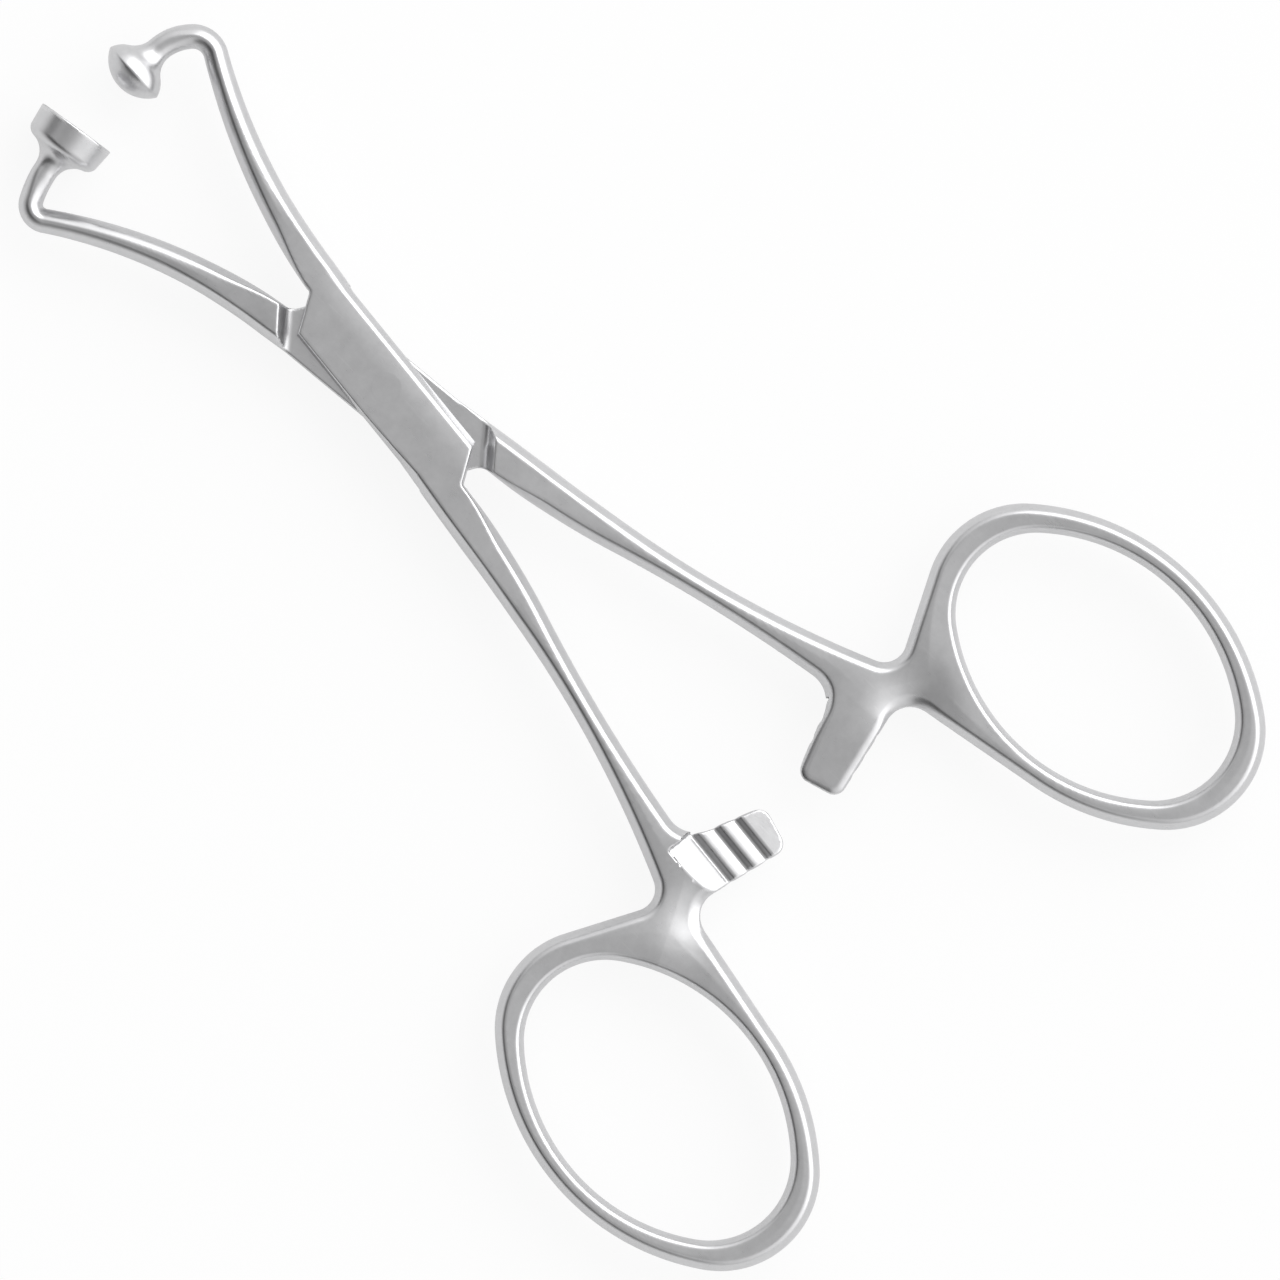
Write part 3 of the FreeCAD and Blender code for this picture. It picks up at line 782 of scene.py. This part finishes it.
def joined_up(inside, number):
    """Quads between the points of neighbouring cells, all facing outwards."""
    quads = []
    for axis in range(3):
        one, two = (axis + 1) % 3, (axis + 2) % 3
        before = [slice(None)] * 3
        behind = [slice(None)] * 3
        before[axis], behind[axis] = slice(0, -1), slice(1, None)
        starts, ends = inside[tuple(before)], inside[tuple(behind)]
        edge = np.argwhere(starts != ends)
        edge = edge[(edge[:, one] > 0) & (edge[:, two] > 0)]
        ring = []
        for shift_one, shift_two in ((-1, -1), (0, -1), (0, 0), (-1, 0)):
            cell = edge.copy()
            cell[:, one] += shift_one
            cell[:, two] += shift_two
            ring.append(number[tuple(cell.T)])
        ring = np.stack(ring, -1)
        outward = starts[tuple(edge.T)]
        ring[~outward] = ring[~outward][:, ::-1]
        quads.append(ring)
    return np.concatenate(quads)


def skinned(field, low, high, pitch):
    """Closed skin of quads over a body, its corners set where the faces of the body meet."""
    axes = [np.arange(a, b + pitch, pitch, dtype=np.float32) for a, b in zip(low, high)]
    value = sampled(field, axes, low, pitch)
    inside = value < 0
    shape = [n - 1 for n in value.shape]
    count = np.zeros(shape, np.int8)
    for corner in ((i, j, k) for i in (0, 1) for j in (0, 1) for k in (0, 1)):
        count += inside[tuple(slice(c, c + n) for c, n in zip(corner, shape))]
    cells = np.argwhere((count > 0) & (count < 8))
    number = np.full(shape, -1, np.int32)
    number[tuple(cells.T)] = np.arange(len(cells))
    base = np.stack([axis[cells[:, i]] for i, axis in enumerate(axes)], -1)
    owners, crossings = crossed(value, cells, base, pitch)
    return settled(field, owners, crossings, base, pitch), joined_up(inside, number)


def forged(name, field, low, high, turned_over):
    """Mesh of one half, opened to its rest pose, with how near an outer edge or a recess each place
    is.
    """
    pitch = mesh_pitch
    points, quads = skinned(field, low, high, pitch)
    normals = slopes(field, points, normal_step)
    normals /= np.maximum(np.linalg.norm(normals, axis=1, keepdims=True), 1e-9)
    # Nearness to an outer edge, for its polish and painted highlight; nearness to a recess, for its
    # painted shade.
    edge_polish_and_highlight = field(*(points - normals * edge_and_recess_probe).T) / edge_and_recess_probe + 1
    hollow = 1 - field(*(points + normals * edge_and_recess_probe).T) / edge_and_recess_probe
    turn = math.radians(-open_angle / 2 if turned_over else open_angle / 2)
    c, s = math.cos(turn), math.sin(turn)
    placing = np.array([[c, -s, 0], [s, c, 0], [0, 0, 1]])
    if turned_over:
        placing = placing @ np.diag([-1, 1, -1])
    points = points @ placing.T
    normals = normals @ placing.T
    points[:, 2] += lock_thickness / 2
    mesh = bpy.data.meshes.new(name)
    mesh.vertices.add(len(points))
    mesh.vertices.foreach_set("co", (points / 1000).astype(np.float32).ravel())
    mesh.loops.add(quads.size)
    mesh.loops.foreach_set("vertex_index", quads.astype(np.int32).ravel())
    mesh.polygons.add(len(quads))
    mesh.polygons.foreach_set("loop_start", np.arange(0, quads.size, 4, dtype=np.int32))
    mesh.update(calc_edges=True)
    mesh.validate()
    mesh.polygons.foreach_set("use_smooth", np.ones(len(mesh.polygons), bool))
    for label, amount in (("edge_polish_and_highlight", edge_polish_and_highlight), ("hollow", hollow)):
        layer = mesh.attributes.new(label, "FLOAT", "POINT")
        layer.data.foreach_set("value", np.clip(amount, 0, 1).astype(np.float32))
    mesh.normals_split_custom_set_from_vertices(normals)
    piece = bpy.data.objects.new(name, mesh)
    bpy.context.scene.collection.objects.link(piece)
    return piece


class Shade:
    """Socket of a shader; arithmetic on it adds the Math nodes."""

    def __init__(self, tree, socket=None):
        self.tree, self.socket = tree, socket

    def node(self, kind, settings=None, sockets=None, out=0):
        """Any node: its settings first, then the values or links of its sockets."""
        made = self.tree.nodes.new(kind)
        for name, value in (settings or {}).items():
            setattr(made, name, value)
        for key, value in (sockets or {}).items():
            if isinstance(value, Shade):
                self.tree.links.new(value.socket, made.inputs[key])
            else:
                made.inputs[key].default_value = value
        return Shade(self.tree, made.outputs[out] if made.outputs else None)

    def maths(self, operation, first, second):
        return self.node("ShaderNodeMath", {"operation": operation}, {0: first, 1: second})

    def __add__(self, other):
        return self.maths("ADD", self, other)

    def __sub__(self, other):
        return self.maths("SUBTRACT", self, other)

    def __rsub__(self, other):
        return self.maths("SUBTRACT", other, self)

    def __mul__(self, other):
        return self.maths("MULTIPLY", self, other)

    __radd__ = __add__
    __rmul__ = __mul__

    def between(self, low, high):
        """Smooth rise from 0 to 1 between two values of this socket."""
        sockets = {"Value": self, "From Min": low, "From Max": high}
        return self.node("ShaderNodeMapRange", {"interpolation_type": "SMOOTHSTEP"}, sockets)

    def noise(self, place, scale, detail, roughness=0.5):
        """Noise pattern at a place."""
        sockets = {"Vector": place, "Scale": scale, "Detail": detail, "Roughness": roughness}
        return self.node("ShaderNodeTexNoise", {}, sockets)


def satin_steel():
    """Satin-polished stainless steel: fine brushing, faint mottling, polished edges with a painted
    highlight, and painted shade in recesses.
    """
    material = bpy.data.materials.new("satin_steel")
    material.use_nodes = True
    tree = material.node_tree
    tree.nodes.clear()
    shade = Shade(tree)
    place = shade.node("ShaderNodeTexCoord", out=3)
    edge_polish_and_highlight = shade.node("ShaderNodeAttribute", {"attribute_name": "edge_polish_and_highlight"}, out=2)
    hollow = shade.node("ShaderNodeAttribute", {"attribute_name": "hollow"}, out=2)
    brushed = {"Vector": place, "Scale": brushing_scale}
    brushing = shade.noise(shade.node("ShaderNodeMapping", {}, brushed), 1.0, 3.0)
    blotches = shade.noise(place, blotch_scale, 3.0, 0.65)
    mottling = shade.noise(place, mottling_scale, 4.0, 0.6)
    grain = shade.noise(place, grain_scale, 2.0)
    scratched = {"Vector": place, "Rotation": (0.0, 0.0, scratch_turn), "Scale": scratch_scale}
    scratches = shade.noise(shade.node("ShaderNodeMapping", {}, scratched), 1.0, 1.0)
    scratch = scratches.between(*scratch_share)
    # Convex edges: the lower roughness is real polish, the lighter tone is a painted highlight.
    edge = edge_polish_and_highlight.between(*edge_highlight_range)
    # Recesses: painted shade, darker in tone, and a little rougher.
    recess = hollow.between(*recess_depth)
    clouds = mottling_tone * (mottling - 0.5) + blotch_tone * (blotches - 0.5)
    # The tone carries a painted highlight on the edges and painted shade in the recesses.
    tone = steel_tone + clouds + edge_painted_highlight * edge - recess_painted_shade * recess + scratch_tone * scratch
    colours = {"Red": tone, "Green": tone, "Blue": tone + steel_blue}
    colour = shade.node("ShaderNodeCombineColor", {}, colours)
    rough = steel_roughness + mottling_roughness * (mottling - 0.5)
    rough = rough + brushing_roughness * (brushing - 0.5)
    rough = rough - worn_roughness * edge + recess_roughness * recess
    height = brushing_height * brushing + grain_height * grain - scratch_height * scratch
    height = height + mottling_height * mottling + blotch_height * blotches
    relief = {"Height": height, "Strength": relief_strength, "Distance": relief_depth}
    bump = shade.node("ShaderNodeBump", {}, relief)
    finish = {"Base Color": colour, "Metallic": 1.0, "Roughness": rough, "Normal": bump}
    polished = shade.node("ShaderNodeBsdfPrincipled", {}, finish)
    shade.node("ShaderNodeOutputMaterial", {}, {"Surface": polished})
    return material


steel = satin_steel()
box_forging = forged("box_half_forging", box_half, *box_space, True)
box_forging.data.materials.append(steel)
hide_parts("box_half")
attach(box_forging, "box_body")


# The tongue half: the forging whose lock is milled down on both faces to a thin tongue, which passes
# through the box's slot and turns there between sloped shoulders. Its jaw ends in the cup.
# It is of the same satin-polished stainless steel, drilled through the tongue for the pin.

tongue_thickness = 1.8
shoulder_cove = 1.0
shoulder_softness = 0.45
tongue_edge_radius = 0.12
hole_radius = 1.64
tongue_bar_reach = 3.4
tongue_space = (-12.5, -94.3, -4.6), (38.6, 46.6, 4.6)

tongue_gap = crotch_gap(tongue_crotch_radius)
tongue_outline = bow_outline(tongue_bar_reach)


def tongue_half(x, y, z):
    """Half with the thin tongue and the cup."""
    body = blank(x, y, z, tongue_gap, cup_jaw, cup, tongue_outline, tongue_bar_reach)
    above = np.abs(z) - tongue_thickness / 2
    slope = shoulder_cove / (lock_thickness / 2 - tongue_thickness / 2)
    shoulder = shoulder_reach + above * slope - between_shoulders(x, y)
    shoulder = shoulder / math.hypot(1, slope)
    cleared = trimmed(-above, -shoulder, shoulder_softness)
    body = trimmed(body, -cleared, tongue_edge_radius)
    return np.maximum(body, hole_radius - np.hypot(x, y))


tongue_forging = forged("tongue_half_forging", tongue_half, *tongue_space, False)
tongue_forging.data.materials.append(steel)
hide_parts("tongue_half")
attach(tongue_forging, "tongue_body")


# The pivot pin: a stainless rivet pressed through the box and the tongue, ground flush with both
# faces of the lock and polished over with them, so that its end can hardly be made out.

pin_radius = 1.6
pin_proud = 0.0015
pin_edge_width = 0.15
pin_edge_drop = 0.001
pin_sides = 96
pin_top = lock_thickness / 2

pin_profile = [(0, pin_top + pin_proud), (pin_radius - pin_edge_width, pin_top + pin_proud)]
pin_profile.append((pin_radius, pin_top - pin_edge_drop))
pin_rings = pin_profile + [(radius, -height) for radius, height in reversed(pin_profile)]
pin_points = [(0, 0, pin_rings[0][1])]
for radius, height in pin_rings[1:-1]:
    for step in range(pin_sides):
        pin_points.append((*way(360 * step / pin_sides, radius), height))
pin_points.append((0, 0, pin_rings[-1][1]))
pin_faces = [(0, 1 + step, 1 + (step + 1) % pin_sides) for step in range(pin_sides)]
for row in range(len(pin_rings) - 3):
    for step in range(pin_sides):
        first = 1 + row * pin_sides + step
        second = 1 + row * pin_sides + (step + 1) % pin_sides
        pin_faces.append((first, first + pin_sides, second + pin_sides, second))
last = len(pin_points) - 1
for step in range(pin_sides):
    pin_faces.append((last, last - pin_sides + (step + 1) % pin_sides, last - pin_sides + step))
pin_mesh = bpy.data.meshes.new("pivot_rivet")
placed = [(x / 1000, y / 1000, (z + pin_top) / 1000) for x, y, z in pin_points]
pin_mesh.from_pydata(placed, [], pin_faces)
pin_mesh.materials.append(steel)
pin = bpy.data.objects.new("pivot_rivet", pin_mesh)
bpy.context.scene.collection.objects.link(pin)
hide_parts("pivot_pin")
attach(pin, "box_body")


# The table: a plain sheet of matt white paper, wide enough to fill the view, that the clamp lies on.
# Seen straight or mirrored in the steel it is nearly as bright as paper in a light tent.

table_reach = 3
paper_white = 0.9
seen_share = 0.88
mirrored_share = 0.5

floor_height = min(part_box(name)[0].z for name in ("box_half", "tongue_half"))
sheet_corners = [
    (side * table_reach, end * table_reach, floor_height)
    for side, end in ((-1, -1), (1, -1), (1, 1), (-1, 1))
]
floor_mesh = bpy.data.meshes.new("table")
floor_mesh.from_pydata(sheet_corners, [], [(0, 1, 2, 3)])
table = bpy.data.objects.new("table", floor_mesh)
bpy.context.scene.collection.objects.link(table)
sheet = bpy.data.materials.new("white_sheet")
sheet.use_nodes = True
sheet.node_tree.nodes.clear()
shade = Shade(sheet.node_tree)
seen = shade.node("ShaderNodeLightPath", out=0)
mirrored = shade.node("ShaderNodeLightPath", out=3)
matt_paper = {"Color": (paper_white, paper_white, paper_white, 1.0)}
matt = shade.node("ShaderNodeBsdfDiffuse", {}, matt_paper)
glow = shade.node("ShaderNodeEmission", {}, {"Color": (1.0, 1.0, 1.0, 1.0), "Strength": 1.0})
share = shade.maths("MAXIMUM", seen_share * seen, mirrored_share * mirrored)
surface = shade.node("ShaderNodeMixShader", {}, {0: share, 1: matt, 2: glow})
shade.node("ShaderNodeOutputMaterial", {}, {"Surface": surface})
floor_mesh.materials.append(sheet)


# The light: a white tent, brighter to the right of the view, darker straight above, where the
# camera looks in, and with a dark strip to the left that draws the edges. A softbox stands at the
# right and gives the soft shadow.

tent_right = 0.927, -0.375
tent_level = 0.98
tent_slant = 0.6
camera_shade = 0.4
camera_shade_rise = 0.75, 0.97
right_glow = 0.75
right_glow_side = 0.4, 0.85
strip_shade = 0.42
strip_side = 0.3, 0.55
strip_foot = 0.25, 0.4
strip_head = 0.68, 0.88
low_left_glow = 0.5
low_left_side = 0.3, 0.6
low_left_top = 0.1, 0.3
horizon_shade = 0.3
horizon_top = 0.0, 0.32
softbox_size = 0.5, 0.7
softbox_watts = 1.2
softbox_place = 0.55, 0.05, 0.45
softbox_tip = 50
softbox_turn = 5

world = bpy.data.worlds.new("studio")
bpy.context.scene.world = world
world.use_nodes = True
world.node_tree.nodes.clear()
shade = Shade(world.node_tree)
direction = shade.node("ShaderNodeTexCoord", out=0)
split = shade.node("ShaderNodeSeparateXYZ", {}, {"Vector": direction})
across, along, up = (Shade(world.node_tree, split.socket.node.outputs[i]) for i in range(3))
right = tent_right[0] * across + tent_right[1] * along
left = -1.0 * right
overhead = up.between(*camera_shade_rise)
bright_side = right.between(*right_glow_side)
strip_band = up.between(*strip_foot) * (1 - up.between(*strip_head))
dark_strip = left.between(*strip_side) * strip_band
low_left = left.between(*low_left_side) * (1 - up.between(*low_left_top))
horizon = 1 - up.between(*horizon_top)
level = tent_level + tent_slant * right - camera_shade * overhead + right_glow * bright_side
level = level - strip_shade * dark_strip + low_left_glow * low_left - horizon_shade * horizon
tent = shade.node("ShaderNodeBackground", {}, {"Color": (1.0, 1.0, 1.0, 1.0), "Strength": level})
shade.node("ShaderNodeOutputWorld", {}, {"Surface": tent})

softbox = bpy.data.lights.new("softbox", "AREA")
softbox.shape = "RECTANGLE"
softbox.size, softbox.size_y = softbox_size
softbox.energy = softbox_watts
softbox_object = bpy.data.objects.new("softbox", softbox)
bpy.context.scene.collection.objects.link(softbox_object)
softbox_object.location = softbox_place
softbox_object.rotation_euler = (0, math.radians(softbox_tip), math.radians(softbox_turn))


# The camera: straight above with a long lens, turned so that the jaws point to the upper left.
# Its height follows from the width of the view at the middle of the lock.

view_width = 0.13056
view_middle = 0.000335, -0.03642
view_turn = -44.7
lens_length = 300
sensor_width = 36
lock_middle = 0.0024

camera = bpy.data.cameras.new("camera")
camera.lens = lens_length
camera.sensor_width = sensor_width
camera_object = bpy.data.objects.new("camera", camera)
bpy.context.scene.collection.objects.link(camera_object)
camera_height = lock_middle + view_width / 2 / (sensor_width / 2 / lens_length)
camera_object.location = (*view_middle, camera_height)
camera_object.rotation_euler = (0, 0, math.radians(view_turn))
camera.clip_end = 10
bpy.context.scene.camera = camera_object
bpy.context.scene.view_settings.view_transform = "Standard"
